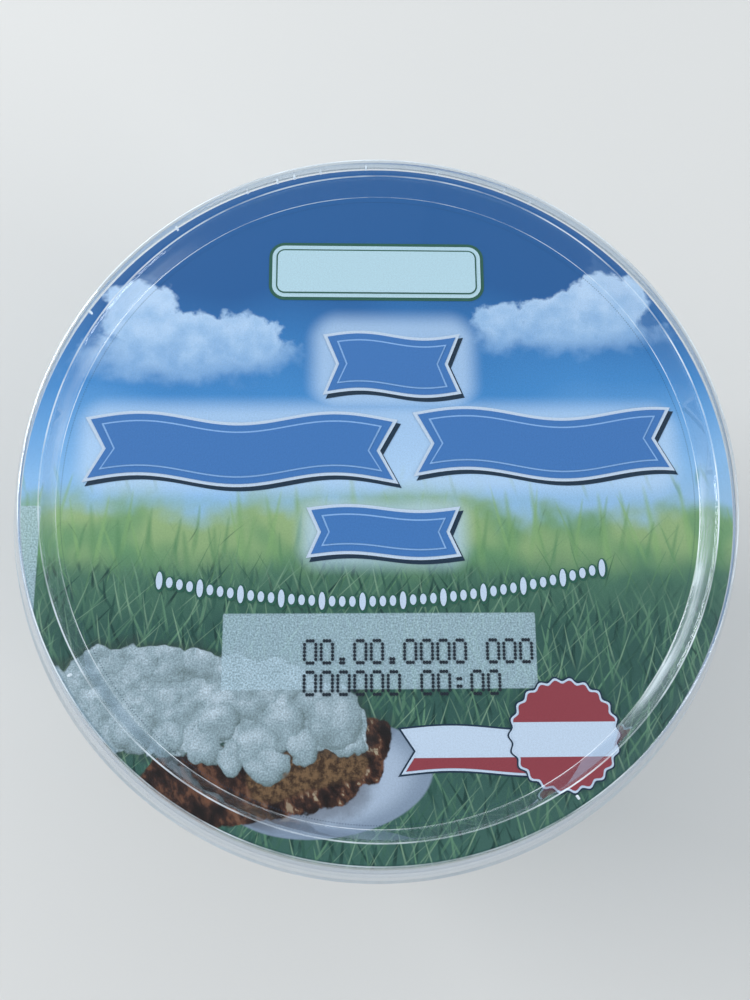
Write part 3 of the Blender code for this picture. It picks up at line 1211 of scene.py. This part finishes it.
def make_code():
    """The code as round dots of ink."""
    mesh = bmesh.new()
    for text, top in CODE_ROWS:
        for place, glyph in enumerate(text):
            for column, row in GLYPH_DOTS[glyph]:
                x = CODE_LEFT + place * GLYPH_PITCH + column * DOT_ACROSS
                y = top - row * DOT_DOWN
                add_layer(mesh, oval((x, y), DOT_RADII, DOT_STEPS), 1)
    return finish_ink("dotted_code", mesh, [make_ink("code_black")])


# The photo's camera, from the middle of the seal
CAMERA_PLACE = Vector((-4.0, -21.9, 103.5)) * MM
CAMERA_TILT = 11.24
CAMERA_ROLL = -1.72
CAMERA_LENS = 28.8


def make_camera():
    data = bpy.data.cameras.new("camera")
    data.lens = CAMERA_LENS
    data.sensor_width = 36.0
    data.clip_start = 0.005
    data.clip_end = 20.0
    camera = bpy.data.objects.new("camera", data)
    bpy.context.collection.objects.link(camera)
    camera.location = Vector((0.0, 0.0, SEAL_TOP)) + CAMERA_PLACE
    turn = Matrix.Rotation(radians(CAMERA_TILT), 4, "X") @ Matrix.Rotation(radians(CAMERA_ROLL), 4, "Y")
    camera.rotation_euler = turn.to_euler()
    bpy.context.scene.camera = camera


FLOOR_HALF = 3.0
FLOOR_COLOUR = (0.72, 0.71, 0.69, 1.0)
FLOOR_DROP = 0.05 * MM


def make_floor():
    mesh = bmesh.new()
    bmesh.ops.create_grid(mesh, x_segments=1, y_segments=1, size=FLOOR_HALF)
    data = bpy.data.meshes.new("floor")
    mesh.to_mesh(data)
    mesh.free()
    material, _, shader = new_material("pale_floor")
    shader.inputs["Base Color"].default_value = FLOOR_COLOUR
    shader.inputs["Roughness"].default_value = 0.8
    data.materials.append(material)
    floor = bpy.data.objects.new("floor", data)
    floor.location.z = -FLOOR_DROP
    bpy.context.collection.objects.link(floor)


# Low, wide lamps like windows: place in m, size in m, power in W
LAMPS = (
    ("left_window", (-0.80, 0.42, 0.28), (0.55, 0.28), 7.5),
    ("right_window", (0.80, -0.40, 0.25), (0.40, 0.24), 3.6),
)
# How much darker the room is on the viewer's side, and its colour there
VIEWER_DIMMING = 0.75
DIM_COLOUR = (0.10, 0.12, 0.14)
# The room's brightness from the horizon up to overhead
ROOM_LIGHT = (
    (-0.2, (1.02, 1.06, 1.09)),
    (0.22, (1.78, 1.86, 1.90)),
    (0.60, (1.02, 1.08, 1.12)),
    (0.85, (0.45, 0.50, 0.56)),
    (1.0, (0.22, 0.26, 0.31)),
)
# What is seen behind the floor in low views
BACKDROP_COLOUR = (0.50, 0.52, 0.53)
LIGHT_BOUNCES = {
    "max_bounces": 3,
    "diffuse_bounces": 1,
    "glossy_bounces": 2,
    "transparent_max_bounces": 10,
    "caustics_reflective": False,
    "caustics_refractive": False,
}


def make_lamps():
    for name, place, size, power in LAMPS:
        data = bpy.data.lights.new(name, "AREA")
        data.shape = "RECTANGLE"
        data.size, data.size_y = size
        data.energy = power
        lamp = bpy.data.objects.new(name, data)
        lamp.location = place
        aim = Vector((0.0, 0.0, SEAL_TOP)) - lamp.location
        lamp.rotation_euler = aim.to_track_quat("-Z", "Y").to_euler()
        bpy.context.collection.objects.link(lamp)


def make_room():
    """Soft light from all round, brighter at the sides than overhead, and dim where the viewer stands."""
    world = bpy.data.worlds.new("room")
    world.use_nodes = True
    tree = world.node_tree
    place = tree.nodes.new("ShaderNodeTexCoord")
    split = tree.nodes.new("ShaderNodeSeparateXYZ")
    tree.links.new(place.outputs["Generated"], split.inputs[0])
    along, height = Num(tree, split.outputs[1]), Num(tree, split.outputs[2])
    viewer = rise(along, -0.15, -0.60) * rise(height, 0.0, 0.25)
    glow = blend(tree, viewer * VIEWER_DIMMING, ramp(height, ROOM_LIGHT), DIM_COLOUR)
    path = tree.nodes.new("ShaderNodeLightPath")
    seen = blend(tree, Num(tree, path.outputs["Is Camera Ray"]), glow, BACKDROP_COLOUR)
    plug(tree, seen, tree.nodes["Background"].inputs["Color"])
    scene = bpy.context.scene
    scene.world = world
    scene.view_settings.view_transform = "Standard"
    for setting, value in LIGHT_BOUNCES.items():
        setattr(scene.cycles, setting, value)


make_camera()
make_cup()
make_seal()
make_name_plates()
make_bead_row()
make_top_plaque()
make_badge()
make_code()
make_lid()
make_floor()
make_lamps()
make_room()
